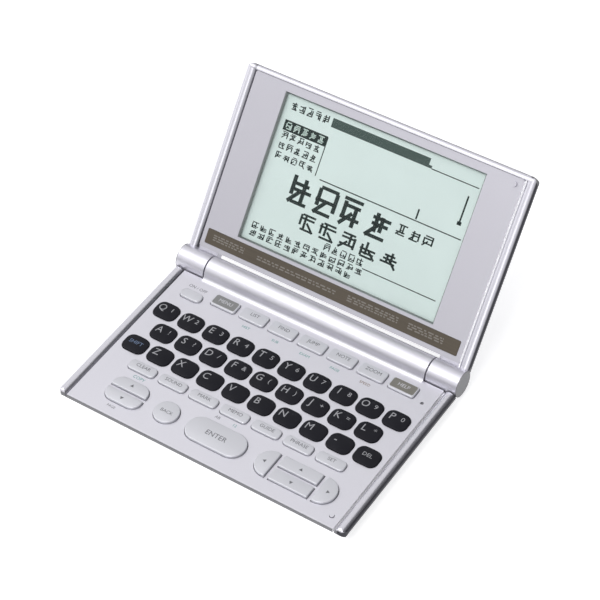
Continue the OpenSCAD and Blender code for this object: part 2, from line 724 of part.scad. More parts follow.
lower_case();
upper_case();
function_keys();
entry_keys();
key_mat();
main_board();
batteries();
battery_contacts();
battery_cover();
rubber_feet();
case_screws();
reset_button();
power_key();
letter_key(0, 0);  // key_q
letter_key(0, 1);  // key_w
letter_key(0, 2);  // key_e
letter_key(0, 3);  // key_r
letter_key(0, 4);  // key_t
letter_key(0, 5);  // key_y
letter_key(0, 6);  // key_u
letter_key(0, 7);  // key_i
letter_key(0, 8);  // key_o
letter_key(0, 9);  // key_p
letter_key(1, 0);  // key_a
letter_key(1, 1);  // key_s
letter_key(1, 2);  // key_d
letter_key(1, 3);  // key_f
letter_key(1, 4);  // key_g
letter_key(1, 5);  // key_h
letter_key(1, 6);  // key_j
letter_key(1, 7);  // key_k
letter_key(1, 8);  // key_l
letter_key(2, 0);  // key_shift
letter_key(2, 1);  // key_z
letter_key(2, 2);  // key_x
letter_key(2, 3);  // key_c
letter_key(2, 4);  // key_v
letter_key(2, 5);  // key_b
letter_key(2, 6);  // key_n
letter_key(2, 7);  // key_m
letter_key(2, 8);  // key_dash
letter_key(2, 9);  // key_delete
page_key(1);  // page_up_key
page_key(-1);  // page_down_key
back_key();
enter_key();
cursor_key(0);  // cursor_left_key
cursor_key(1);  // cursor_up_key
cursor_key(2);  // cursor_down_key
cursor_key(3);  // cursor_right_key
hinge_pin_left();
hinge_pin_right();
lid_cover();
lid_bezel();
trim_strip();
display_window();
lcd_panel();
display_ribbon();
lid_screws();
lid_switch();
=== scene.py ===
# Electronic dictionary on a table, its lid standing open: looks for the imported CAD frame. Metres, +Z up.
import math
import random

import bpy
from mathutils import Matrix, Vector


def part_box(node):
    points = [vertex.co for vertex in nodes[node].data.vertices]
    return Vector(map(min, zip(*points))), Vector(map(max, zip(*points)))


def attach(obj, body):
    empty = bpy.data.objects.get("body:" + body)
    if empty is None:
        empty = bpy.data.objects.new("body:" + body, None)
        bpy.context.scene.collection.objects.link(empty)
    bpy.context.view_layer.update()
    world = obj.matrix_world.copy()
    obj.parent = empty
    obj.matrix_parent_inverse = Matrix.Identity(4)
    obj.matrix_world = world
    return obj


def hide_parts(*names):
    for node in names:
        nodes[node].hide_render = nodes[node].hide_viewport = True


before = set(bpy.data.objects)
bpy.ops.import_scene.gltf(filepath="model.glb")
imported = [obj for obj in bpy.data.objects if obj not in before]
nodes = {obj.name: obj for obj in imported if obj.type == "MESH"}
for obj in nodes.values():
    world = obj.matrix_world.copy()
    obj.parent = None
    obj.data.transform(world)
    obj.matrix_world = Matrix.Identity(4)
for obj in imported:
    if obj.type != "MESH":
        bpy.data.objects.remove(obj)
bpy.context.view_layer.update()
MM = 0.001

# ---- Camera: a long lens over the reader's right shoulder, looking down on the keys, a little tilted. ----
# The direction comes from a fit of the key grid and the case edges; the hinge line runs up to the left.
AIM = Vector((-13.05, 20.736, 8.4)) * MM
DISTANCE = 0.92255
AZIMUTH, ELEVATION, TILT = (math.radians(a) for a in (36.12, 46.67, -3.32))
SENSOR, FOCAL_PIXELS, FRAME_PIXELS = 36, 2158.9, 600
back = Vector((math.sin(AZIMUTH) * math.cos(ELEVATION), -math.cos(AZIMUTH) * math.cos(ELEVATION),
               math.sin(ELEVATION)))
right = Vector((math.cos(AZIMUTH), math.sin(AZIMUTH), 0))
up = back.cross(right)
across = right * math.cos(TILT) + up * math.sin(TILT)
upward = up * math.cos(TILT) - right * math.sin(TILT)
camera = bpy.data.objects.new("camera", bpy.data.cameras.new("camera"))
camera.data.sensor_width = SENSOR
camera.data.lens = FOCAL_PIXELS / FRAME_PIXELS * SENSOR
camera.data.clip_end = 20
turned = Matrix((across, upward, back)).transposed().to_4x4()
camera.matrix_world = Matrix.Translation(AIM + back * DISTANCE) @ turned
bpy.context.scene.collection.objects.link(camera)
bpy.context.scene.camera = camera
bpy.context.scene.view_settings.view_transform = "Standard"


# ---- Studio: a pale table top, softboxes overhead, in front and at the left, and black cloths round it. ----
# The table is white to the camera and to reflections, and keeps the shadow of the dictionary. The cloths
# give the rounded rails and the barrel their dark reflections.
class Wire:
    """A socket of a material; sums and products written with it become Math nodes."""

    def __init__(self, tree, socket):
        self.tree, self.socket = tree, socket

    def math(self, operation, *others):
        values = dict(enumerate((self,) + others))
        return add_node(self.tree, "ShaderNodeMath", {"operation": operation}, values)

    def __add__(self, other):
        return self.math("ADD", other)

    def __sub__(self, other):
        return self.math("SUBTRACT", other)

    def __mul__(self, other):
        return self.math("MULTIPLY", other)

    def __rsub__(self, other):
        return self * -1 + other

    __radd__, __rmul__ = __add__, __mul__

    def __getitem__(self, name):
        return Wire(self.tree, self.socket.node.outputs[name])


def add_node(tree, kind, settings, sockets):
    """Adds a node; settings are its properties, and sockets its inputs, each a value or a Wire."""
    node = tree.nodes.new(kind)
    for name, value in settings.items():
        setattr(node, name, value)
    for name, value in sockets.items():
        if isinstance(value, Wire):
            tree.links.new(value.socket, node.inputs[name])
        else:
            node.inputs[name].default_value = value
    return Wire(tree, node.outputs[0])


def in_view(tree):
    """1 for what the camera sees directly, in a reflection or through glass, and 0 for light on the object."""
    path = add_node(tree, "ShaderNodeLightPath", {}, {})
    mirrored = path["Is Camera Ray"].math("MAXIMUM", path["Is Glossy Ray"])
    return mirrored.math("MAXIMUM", path["Is Transmission Ray"])


world = bpy.data.worlds.new("studio")
bpy.context.scene.world = world
world.use_nodes = True
air = world.node_tree
dim = add_node(air, "ShaderNodeBackground", {}, {"Color": (0.93, 0.95, 1.0, 1), "Strength": 0.30})
white = add_node(air, "ShaderNodeBackground", {}, {"Color": (1, 1, 1, 1), "Strength": 1.0})
mixed = add_node(air, "ShaderNodeMixShader", {}, {0: in_view(air), 1: dim, 2: white})
air.links.new(mixed.socket, air.nodes["World Output"].inputs[0])

for name, place, aim, size, watts in (
        ("key_softbox", (-0.7, -0.15, 1.05), (0, 0, 0), 0.95, 3.9),
        ("front_softbox", (0.0, -0.65, 1.15), (0, 0, 0.03), 0.7, 7.5),
        ("low_softbox", (0.32, -1.1, 0.55), (0, 0, 0.03), 0.5, 1.1),
        ("fill_softbox", (-0.95, -0.25, 0.6), (0, 0, 0.03), 0.8, 1.5)):
    lamp = bpy.data.objects.new(name, bpy.data.lights.new(name, "AREA"))
    lamp.data.shape, lamp.data.size, lamp.data.energy = "SQUARE", size, watts
    lamp.location = place
    lamp.rotation_euler = (Vector(aim) - Vector(place)).to_track_quat("-Z", "Y").to_euler()
    bpy.context.scene.collection.objects.link(lamp)


def start(kind, **options):
    """Adds one primitive with nothing else selected and opens it in edit mode."""
    if bpy.context.object and bpy.context.object.mode == "EDIT":
        bpy.ops.object.mode_set(mode="OBJECT")
    bpy.ops.object.select_all(action="DESELECT")
    getattr(bpy.ops.mesh, "primitive_" + kind + "_add")(**options)
    bpy.ops.object.mode_set(mode="EDIT")
    return bpy.context.object


def done(piece, name):
    """Leaves edit mode, gives the piece its name and puts its place into its mesh."""
    if piece.mode == "EDIT":
        bpy.ops.object.mode_set(mode="OBJECT")
    piece.name = piece.data.name = name
    piece.data.transform(piece.matrix_world)
    piece.matrix_world = Matrix.Identity(4)
    return piece


table = done(start("plane", size=12, location=(0, 0, 0)), "table_top")
table.data.materials.append(bpy.data.materials.new("table_white"))
table.data.materials[0].use_nodes = True
top = table.data.materials[0].node_tree
glow = add_node(top, "ShaderNodeEmission", {}, {"Color": (1, 1, 1, 1), "Strength": 0.72})
plain = add_node(top, "ShaderNodeBsdfDiffuse", {}, {"Color": (0.78, 0.78, 0.78, 1)})
both = add_node(top, "ShaderNodeAddShader", {}, {0: plain, 1: glow})
mixed = add_node(top, "ShaderNodeMixShader", {}, {0: in_view(top), 1: plain, 2: both})
top.links.new(mixed.socket, top.nodes["Material Output"].inputs[0])

black = bpy.data.materials.new("black_cloth")
black.use_nodes = True
black.node_tree.nodes["Principled BSDF"].inputs["Base Color"].default_value = (0.012, 0.012, 0.014, 1)
black.node_tree.nodes["Principled BSDF"].inputs["Roughness"].default_value = 1
for name, place, width, height in (
        ("right_cloth", (0.72, 0.72, 0.64), 1.3, 1.0),
        ("front_cloth", (-0.5, -1.15, 0.14), 1.1, 0.28),
        ("back_cloth", (-0.45, 1.1, 0.25), 1.1, 0.5)):
    facing = (-Vector(place)).to_track_quat("Z", "Y").to_euler()
    cloth = start("plane", size=1, location=place, rotation=facing)
    bpy.ops.transform.resize(value=(width, height, 1), orient_type="LOCAL", center_override=place)
    cloth = done(cloth, name)
    cloth.data.materials.append(black)


# ---- Case: keyboard half, lid shell and battery door, moulded plastic sprayed with satin silver paint. ----
# The paint holds fine metal flakes. Over it lie painted shade and light: a dark grey band of painted shade on the
# flanks under the rounded rails, on the front face and on the knuckle ends, painted light in the groove beside
# the right rail, and painted shade on the left rail's inner side.
def new_material(name):
    material = bpy.data.materials.new(name)
    material.use_nodes = True
    return material, material.node_tree, add_node(material.node_tree, "ShaderNodeTexCoord", {}, {})["Object"]


def blend(tree, share, first, second):
    mix = add_node(tree, "ShaderNodeMix", {"data_type": "RGBA"}, {0: share, 6: first, 7: second})
    return Wire(tree, mix.socket.node.outputs[2])


def grain(place, scale, detail=2.0):
    return add_node(place.tree, "ShaderNodeTexNoise", {}, {"Vector": place, "Scale": scale, "Detail": detail})


def ramp(value, low, high, first=0.0, last=1.0):
    """A smooth step from first at low to last at high, both in metres."""
    return add_node(value.tree, "ShaderNodeMapRange", {"interpolation_type": "SMOOTHSTEP"},
                    {"Value": value, "From Min": low, "From Max": high, "To Min": first, "To Max": last})


def step(value, low, high, first=0.0, last=1.0):
    """The same with low and high in millimetres."""
    return ramp(value, low * MM, high * MM, first, last)


def surface(material, height=None, depth=0.0, **sockets):
    """Sets the Principled shader's sockets; height, where given, is a bump this deep in metres."""
    tree = material.node_tree
    shader = tree.nodes["Principled BSDF"]
    if height is not None:
        sockets["Normal"] = add_node(tree, "ShaderNodeBump", {},
                                     {"Height": height, "Distance": depth, "Strength": 1.0})
    for name, value in sockets.items():
        socket = shader.inputs[name.replace("_", " ")]
        if isinstance(value, Wire):
            tree.links.new(value.socket, socket)
        else:
            socket.default_value = value
    return material


def dress(material, *members):
    """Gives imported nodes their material."""
    for name in members:
        nodes[name].data.materials.clear()
        nodes[name].data.materials.append(material)


low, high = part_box("hinge_pin_right")
HINGE = Vector((0, (low.y + high.y) / 2, (low.z + high.z) / 2))
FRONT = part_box("lower_case")[0].y
LID_RISE = math.pi - math.radians(129)
HALF_GAP = 0.75 * MM


def silver_paint(name, tone, facing, painted_flank_shade, walls):
    """Satin silver for a panel; facing points straight out of it.

    The last two arguments are 1 where it gets painted shade, the first on its flanks, front face, knuckle ends
    and left rail's inner side, the second on the walls of its opening; the groove beside the right rail always
    gets painted light.
    """
    material, tree, place = new_material(name)
    flakes = grain(place, 5200, 1.0)
    cloud = grain(place, 38)
    axis = add_node(tree, "ShaderNodeSeparateXYZ", {}, {"Vector": place})
    out = add_node(tree, "ShaderNodeVectorMath", {"operation": "DOT_PRODUCT"}, {0: place, 1: facing})
    height = out["Value"] - (HINGE.dot(facing) - HALF_GAP)
    wide = axis["X"].math("ABSOLUTE")
    behind = axis["Y"] - HINGE.y
    reach = behind.math("POWER", 2) + (axis["Z"] - HINGE.z).math("POWER", 2)
    off_knuckle = ramp(reach, (5.9 * MM) ** 2, (6.1 * MM) ** 2)
    at_right = step(axis["X"], -10, 10)
    # Painted shade: near-black on the flanks under the rails, reaching higher on the right side.
    side = step(wide, 67.4, 67.6) * step(height - at_right * MM, -0.6, -1.4)
    rail = step(wide, 65.85, 65.95) * step(height, -2.4, -2.0) * off_knuckle
    # Painted shade: dark grey on the front face.
    front = step(axis["Y"] - FRONT, 0.6, 0.1)
    # Painted shade: dark grey on the end faces of the knuckles.
    cap = step(wide, 70.5, 70.7) * (1 - off_knuckle)
    below = step(height, -0.05, -0.25)
    # Painted light: pale, less metallic paint in the groove beside the right rail, right side only.
    painted_groove_light = step(wide, 65.4, 65.55) * step(wide, 66.2, 66.1) * below * at_right
    # Painted shade: darker paint on the left rail's inner side, deepest towards the hinge and fading to the
    # front.
    inner = step(wide, 65.6, 65.7) * step(wide, 67.8, 66.2) * step(height, -1.4, -1.1)
    rail_shade_fade = ramp(behind, FRONT - HINGE.y, 0, 0.35, 1.0) * step(behind, 4, 20, 1.0, 0.6)
    painted_rail_shade = inner * off_knuckle * (1 - at_right) * rail_shade_fade * painted_flank_shade
    # Painted shade: grey-green on the sloped walls of the display opening.
    opening = step(wide, 62, 61.5) * below
    light, shade = [c * 1.05 for c in tone] + [1], [c * 0.93 for c in tone] + [1]
    paint = blend(tree, flakes * 0.7 + cloud * 0.3, light, shade)
    # Painted shade and painted light laid over the silver paint, mask by mask.
    for share, colour in ((front * painted_flank_shade, (0.17, 0.17, 0.18, 1)),
                          (side * off_knuckle * painted_flank_shade, (0.032, 0.032, 0.04, 1)),
                          (cap * painted_flank_shade, (0.17, 0.17, 0.18, 1)),
                          (painted_groove_light, (0.95, 0.95, 0.97, 1)),
                          (painted_rail_shade, (0.13, 0.13, 0.14, 1)),
                          (opening * walls, (0.22, 0.24, 0.235, 1))):
        paint = blend(tree, share, paint, colour)
    return surface(material, flakes, 4e-6, Base_Color=paint, Metallic=rail * 0.1 + painted_groove_light * 0.3 + 0.6,
                   Roughness=flakes * 0.12 + 0.28 - rail * 0.1)


lid_facing = Vector((0, -math.sin(LID_RISE), math.cos(LID_RISE)))
# The keyboard half's copy of the paint is a touch paler than the lid's: painted light on the deck.
case_paint = silver_paint("satin_silver_paint", (0.66, 0.65, 0.705), Vector((0, 0, 1)), 1.0, 0.0)
lid_paint = silver_paint("lid_silver_paint", (0.64, 0.63, 0.69), lid_facing, 1.0, 0.0)
dress(case_paint, "lower_case", "upper_case", "battery_cover", "lid_switch")
dress(lid_paint, "lid_cover")

# ---- Bezel: flat frame round the display, moulded in the same plastic and painted a darker silver. ----
# It lies in its bed in the lid shell; the sloped walls of its opening go down to the window, with painted shade
# in grey on them.
dress(silver_paint("bezel_silver_paint", (0.525, 0.515, 0.565), lid_facing, 0.0, 1.0), "lid_bezel")


# ---- Hidden pieces: rubber mat and feet, board, cells, contacts, screws, pins and ribbon. ----
# Plain shop finishes; they show only through the gaps and with the battery door off.
def plain_finish(name, tone, roughness, metallic, scale, stretch=(1, 1, 1)):
    material, tree, place = new_material(name)
    along = add_node(tree, "ShaderNodeMapping", {}, {"Vector": place, "Scale": stretch})
    marks = grain(along, scale)
    tint = blend(tree, marks, [c * 1.12 for c in tone] + [1], [c * 0.86 for c in tone] + [1])
    return surface(material, marks, 1e-5, Base_Color=tint, Metallic=metallic,
                   Roughness=marks * 0.15 + roughness)


dress(plain_finish("black_rubber", (0.03, 0.03, 0.032), 0.6, 0.0, 3000), "rubber_feet")
dress(plain_finish("grey_silicone", (0.16, 0.165, 0.175), 0.5, 0.0, 900), "key_mat")
dress(plain_finish("green_board", (0.02, 0.13, 0.05), 0.35, 0.0, 700), "main_board")
dress(plain_finish("cell_jacket", (0.5, 0.36, 0.1), 0.28, 0.8, 200, (1, 6, 6)), "batteries")
dress(plain_finish("bright_steel", (0.55, 0.55, 0.56), 0.25, 1.0, 600, (1, 8, 8)),
      "battery_contacts", "case_screws", "lid_screws", "hinge_pin_left", "hinge_pin_right")
dress(plain_finish("amber_film", (0.42, 0.16, 0.03), 0.3, 0.0, 500), "display_ribbon")
dress(plain_finish("grey_plastic", (0.2, 0.2, 0.21), 0.4, 0.0, 1500), "reset_button")

# ---- Trim strip: thin aluminium label bonded in its bed under the display, anodised dark bronze. ----
# Brushed along its length; its printed places carry only rows of plain light dashes.
material, tree, place = new_material("bronze_strip")
along = add_node(tree, "ShaderNodeMapping", {}, {"Vector": place, "Scale": (60, 3600, 3600)})
lines = grain(along, 1.0, 3.0)
cloud = grain(place, 30)
bronze = blend(tree, lines * 0.6 + cloud * 0.4, (0.06, 0.048, 0.034, 1), (0.115, 0.094, 0.07, 1))
surface(material, lines, 6e-6, Base_Color=bronze, Metallic=0.3, Roughness=lines * 0.2 + 0.3)
dress(material, "trim_strip")

to_face = Matrix.Translation((0, 0, -HALF_GAP))
to_lid = Matrix.Translation(HINGE) @ Matrix.Rotation(LID_RISE, 4, "X") @ to_face


def strokes(bars, height):
    """Adds thin flat bars to the piece being edited: (x0, y0, x1, y1, width) in millimetres."""
    for x0, y0, x1, y1, width in bars:
        middle = Vector(((x0 + x1) / 2, (y0 + y1) / 2, height)) * MM
        bpy.ops.mesh.primitive_plane_add(size=MM, location=middle)
        length, slant = math.hypot(x1 - x0, y1 - y0), math.atan2(y0 - y1, x1 - x0)
        bpy.ops.transform.resize(value=(length, width, 1), center_override=middle)
        if y1 != y0:
            bpy.ops.transform.rotate(value=slant, orient_axis="Z", center_override=middle)


def thicken(piece, thickness):
    bpy.context.view_layer.objects.active = piece
    solid = piece.modifiers.new("thickness", "SOLIDIFY")
    solid.thickness, solid.offset = thickness * MM, 1
    bpy.ops.object.modifier_apply(modifier=solid.name)


def bars_on_lid(name, bars, height, thickness, material):
    """Flat bars as one thin print; height is over the face of the lid, in millimetres."""
    piece = start("plane", size=MM * 0.01, location=(bars[0][0] * MM, bars[0][1] * MM, height * MM))
    bpy.ops.mesh.delete(type="VERT")
    strokes(bars, height)
    done(piece, name)
    thicken(piece, thickness)
    piece.data.transform(to_lid)
    piece.data.materials.append(material)
    return piece


DASH_WIDTH = 0.55
dice = random.Random(7)
dashes = []
for first, last, rows in ((-60, -44, (11.9, 12.9, 13.9)), (-37, 3, (12.2, 13.3)),
                          (9, 34, (12.0, 13.0, 14.0)), (39, 56, (11.9, 12.9, 13.9))):
    for row in rows:
        x = first
        while x < last:
            length = dice.uniform(0.8, 2.6)
            dashes.append((x, row, min(x + length, last), row, DASH_WIDTH))
            x += length + dice.uniform(0.35, 1.1)
material, tree, place = new_material("dash_print")
dust = grain(place, 2500)
surface(material, dust, 3e-6, Roughness=0.5,
        Base_Color=blend(tree, dust, (0.24, 0.22, 0.195, 1), (0.16, 0.145, 0.125, 1)))
marks = bars_on_lid("strip_dashes", dashes, 0.085, 0.01, material)
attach(marks, "lid")


# ---- Nose closure: part of the moulded lid shell, along the back of its top edge, in the same paint. ----
# It closes the narrow gap between the flat back and the curved nose, and follows the curve of the nose
# a hair below its skin.
def smooth(piece):
    bpy.ops.object.select_all(action="DESELECT")
    piece.select_set(True)
    bpy.context.view_layer.objects.active = piece
    bpy.ops.object.shade_smooth_by_angle(angle=math.radians(40))


NOSE_CENTRE = (0, 80.08 * MM, 6.6 * MM)
NOSE_SKIN, NOSE_WALL, NOSE_LENGTH = 12.97, 0.6, 131
nose = start("cylinder", vertices=240, radius=(NOSE_SKIN - NOSE_WALL) * MM, depth=NOSE_LENGTH * MM,
             end_fill_type="NOTHING", location=NOSE_CENTRE, rotation=(0, math.pi / 2, 0))
for place, outward in (((0, 85.3, 0), (0, -1, 0)), ((0, 87.3, 0), (0, 1, 0)), ((0, 0, 0), (0, 0, 1))):
    bpy.ops.mesh.select_all(action="SELECT")
    bpy.ops.mesh.bisect(plane_co=Vector(place) * MM, plane_no=outward, clear_outer=True)
done(nose, "nose_closure")
thicken(nose, NOSE_WALL)
smooth(nose)
nose.data.transform(to_lid)
nose.data.materials.append(lid_paint)
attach(nose, "lid")

# ---- Display: reflective liquid crystal panel, mint grey, behind a clear acrylic window. ----
# The panel is glass with a matt polariser; its picture is made of dark segments of no real writing.
material, tree, place = new_material("display_panel")
cells = grain(place, 3800, 0.0)
cloud = grain(place, 18)
mint = blend(tree, cells * 0.25 + cloud * 0.6, (0.80, 0.92, 0.885, 1), (0.72, 0.85, 0.81, 1))
surface(material, cells, 2e-6, Base_Color=mint, Metallic=0.0, Roughness=cells * 0.08 + 0.45)
dress(material, "lcd_panel")

material, tree, place = new_material("clear_window")
smears = grain(place, 60)
surface(material, Base_Color=(0.3, 0.34, 0.33, 1), Roughness=smears * 0.06 + 0.04, Alpha=smears * 0.03 + 0.035)
dress(material, "display_window")


def segment_material(name, first, second, roughness=0.5, specular=0.08):
    material, tree, place = new_material(name)
    cells = grain(place, 3800, 0.0)
    return surface(material, cells, 2e-6, Roughness=cells * 0.1 + roughness, Specular_IOR_Level=specular,
                   Base_Color=blend(tree, cells, first + (1,), second + (1,)))


def glyph(x, y, width, height, weight, dice):
    """A block of crossing strokes that only looks like writing from far off."""
    bars = []
    levels = sorted(dice.sample((0.05, 0.28, 0.5, 0.72, 0.95), 3))
    for level in levels:
        inset = dice.uniform(0, 0.22) * width
        end = x + width - dice.uniform(0, 0.2) * width
        bars.append((x + inset, y + level * height, end, y + level * height, weight * 0.8))
    for column in sorted(dice.sample((0.12, 0.38, 0.62, 0.88), 2)):
        bars.append((x + column * width, y + dice.uniform(0, 0.3) * height, x + column * width,
                     y + dice.uniform(0.75, 1.0) * height, weight))
    side = dice.choice((-1, 1))
    middle = x + width / 2
    bars.append((middle, y + height * 0.5, middle + side * width * 0.45, y, weight * 0.9))
    return bars


def writing(rows, dice):
    """Rows of glyphs: (first x, pitch, count, y, width, height, weight) in millimetres."""
    bars = []
    for x, pitch, count, y, width, height, weight in rows:
        for i in range(count):
            bars += glyph(x + i * pitch, y, width, height, weight, dice)
    return bars


dice = random.Random(23)
picture = writing((
    (-45.6, 4.0, 5, 77.4, 3.0, 3.6, 0.55),
    (-45.6, 4.0, 5, 64.6, 3.1, 3.0, 0.5), (-45.6, 4.0, 5, 60.1, 3.1, 3.0, 0.5),
    (-45.6, 4.0, 5, 55.6, 3.1, 3.0, 0.5),
    (-34, 13.0, 4, 40.4, 11.0, 12, 1.9), (18.6, 6.4, 3, 46.0, 5.2, 4.6, 0.75),
    (-25.2, 10.3, 5, 31.2, 8.4, 7.0, 1.15), (-10, 4.1, 5, 27.2, 3.2, 3.2, 0.5),
    (-45.6, 4.4, 13, 23.6, 3.4, 2.7, 0.5), (-45.6, 4.4, 12, 20.2, 3.4, 2.7, 0.5)), dice)
picture += [(24.7, 76.9, 47.4, 76.9, 0.45), (-24.5, 55, -24.5, 72.4, 0.45), (-22, 54.3, 47.4, 54.3, 0.5),
            (10, 26.6, 46, 26.6, 0.45), (25.5, 54.9, 25.5, 59.4, 0.8), (44.2, 59.6, 44.2, 72.4, 0.8),
            (43.2, 60.4, 45.2, 60.4, 1.6), (-46.2, 70.3, -24.6, 70.3, 4.6)]
title_bar = [(-25, 78.9, 23, 78.9, 4.0), (23, 77.5, 24.6, 77.5, 1.2)]
inverse = writing(((-45.2, 4.1, 5, 68.8, 3.1, 3.0, 0.55),), dice)
ON_PANEL, OVER_INK, INK_DEEP = -2.148, -2.139, 0.008
dark_segments = segment_material("display_ink", (0.006, 0.014, 0.013), (0.012, 0.024, 0.021))
grey_segments = segment_material("display_title_bar", (0.045, 0.075, 0.066), (0.07, 0.105, 0.095))
blank_segments = segment_material("display_blank", (0.6, 0.74, 0.68), (0.55, 0.69, 0.63), 0.4, 0.5)
ink = bars_on_lid("display_picture", picture, ON_PANEL, INK_DEEP, dark_segments)
bar = bars_on_lid("display_bar", title_bar, ON_PANEL, INK_DEEP, grey_segments)
blanks = bars_on_lid("display_inverse", inverse, OVER_INK, INK_DEEP, blank_segments)
for piece in (ink, bar, blanks):
    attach(piece, "lid")

# ---- Letter keys: near-black moulded caps with a domed top and a rounded rim, printed in white. ----
# Each cap comes up through its own opening in the deck and goes down on the rubber mat.
DECK = 8.4
UNDER_DECK = DECK - 1.5
KEY_W, KEY_D, KEY_R, KEY_TOP, DOME_R = 11.0, 8.6, 3.0, 1.15, 26.0
INK_LIFT, INK_THICK = 0.004, 0.012


def block(width, depth, low, high, radius, segments):
    """A box with rounded upright corners, from low to high in millimetres."""
    piece = start("cube", size=1, location=(0, 0, (low + high) / 2 * MM))
    bpy.ops.transform.resize(value=(width * MM, depth * MM, (high - low) * MM))
    bpy.ops.mesh.select_mode(type="EDGE")
    bpy.ops.mesh.select_all(action="DESELECT")
    bpy.ops.object.mode_set(mode="OBJECT")
    points = piece.data.vertices
    for edge in piece.data.edges:
        a, b = (points[i].co for i in edge.vertices)
        edge.select = abs(a.z - b.z) > 0.4 * (high - low) * MM and (a - b).to_2d().length < 1e-6
    bpy.ops.object.mode_set(mode="EDIT")
    bpy.ops.mesh.bevel(offset=radius * MM, segments=segments, affect="EDGES", clamp_overlap=False)
    bpy.ops.object.mode_set(mode="OBJECT")
    return piece


def round_rim(piece, width, segments):
    rim = piece.modifiers.new("rim", "BEVEL")
    rim.width, rim.segments = width * MM, segments
    rim.limit_method, rim.angle_limit = "ANGLE", math.radians(50)
    bpy.context.view_layer.objects.active = piece
    bpy.ops.object.modifier_apply(modifier=rim.name)


cap = block(KEY_W, KEY_D, UNDER_DECK, DECK + 3, KEY_R, 8)
bpy.ops.object.select_all(action="DESELECT")
bpy.ops.mesh.primitive_uv_sphere_add(
    segments=200, ring_count=100, radius=DOME_R * MM, location=(0, 0, (DECK + KEY_TOP - DOME_R) * MM),
    rotation=(math.pi / 2, 0, 0))
ball = bpy.context.object
carve = cap.modifiers.new("dome", "BOOLEAN")
carve.operation, carve.object, carve.solver = "INTERSECT", ball, "EXACT"
bpy.context.view_layer.objects.active = cap
bpy.ops.object.modifier_apply(modifier=carve.name)
bpy.data.objects.remove(ball)
round_rim(cap, 0.5, 4)
smooth(cap)


def lettering(words, size, x, y):
    """Flat words in millimetres, centred on x, y at height zero, as a fine mesh."""
    bpy.ops.object.select_all(action="DESELECT")
    bpy.ops.object.text_add(location=(x * MM, y * MM, 0))
    text = bpy.context.object
    text.data.body, text.data.size = words, size * MM
    text.data.align_x, text.data.align_y, text.data.resolution_u = "CENTER", "CENTER", 3
    bpy.ops.object.convert(target="MESH")
    text = bpy.context.object
    text.data.transform(text.matrix_world)
    text.matrix_world = Matrix.Identity(4)
    return text


def lay_on(text, carrier):
    """Cuts the words finely, lets them down on the carrier below and gives them the thickness of ink."""
    bpy.context.view_layer.objects.active = text
    bpy.ops.object.mode_set(mode="EDIT")
    bpy.ops.mesh.select_all(action="SELECT")
    bpy.ops.mesh.quads_convert_to_tris()
    bpy.ops.mesh.subdivide(number_cuts=3)
    bpy.ops.transform.translate(value=(0, 0, 0.03))
    bpy.ops.object.mode_set(mode="OBJECT")
    wrap = text.modifiers.new("lay", "SHRINKWRAP")
    wrap.wrap_method, wrap.target, wrap.offset = "PROJECT", carrier, INK_LIFT * MM
    wrap.use_project_z, wrap.use_negative_direction, wrap.use_positive_direction = True, True, False
    bpy.ops.object.modifier_apply(modifier=wrap.name)
    thicken(text, INK_THICK)


def join(piece, others):
    bpy.ops.object.select_all(action="DESELECT")
    for other in others:
        other.select_set(True)
    piece.select_set(True)
    bpy.context.view_layer.objects.active = piece
    bpy.ops.object.join()
    return piece


def ink_material(name, first, second):
    material, tree, place = new_material(name)
    dust = grain(place, 2600)
    return surface(material, dust, 3e-6, Roughness=dust * 0.1 + 0.45,
                   Base_Color=blend(tree, dust, first + (1,), second + (1,)))


material, tree, place = new_material("black_key_plastic")
skin = grain(place, 2400)
cloud = grain(place, 90)
key_black = surface(material, skin, 6e-6, Roughness=skin * 0.14 + 0.24, Specular_IOR_Level=0.12,
                    Base_Color=blend(tree, cloud, (0.007, 0.007, 0.011, 1), (0.013, 0.013, 0.018, 1)))
white_ink = ink_material("white_legend_ink", (0.42, 0.42, 0.44), (0.32, 0.32, 0.34))
blue_ink = ink_material("blue_legend_ink", (0.16, 0.22, 0.34), (0.12, 0.17, 0.28))
legends = {"key_shift": "SHIFT", "key_dash": "-", "key_delete": "DEL"}
seconds = dict(zip("qwertyuiop", "1234567890")) | dict(zip("asdfghjkl", "!?/&()+=*"))
for name in [n for n in nodes if n.startswith("key_") and n != "key_mat"]:
    low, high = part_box(name)
    centre = (low + high) / 2
    letter = legends.get(name, name[4:].upper())
    piece = cap.copy()
    piece.data = cap.data.copy()
    bpy.context.scene.collection.objects.link(piece)
    piece.name = piece.data.name = name.replace("key_", "cap_")
    piece.data.materials.append(key_black)
    words = []
    if len(letter) == 1:
        words.append(lettering(letter, 4.9, -2.4, 0.7))
    else:
        words.append(lettering(letter, 2.7, 0, 0.3))
    if name[4:] in seconds:
        words.append(lettering(seconds[name[4:]], 3.3, 2.4, 1.0))
    for word in words:
        lay_on(word, cap)
        word.data.materials.append(blue_ink if name == "key_shift" else white_ink)
    join(piece, words)
    piece.data.transform(Matrix.Translation((centre.x, centre.y, 0)))
    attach(piece, name)
    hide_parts(name)
bpy.data.objects.remove(cap)

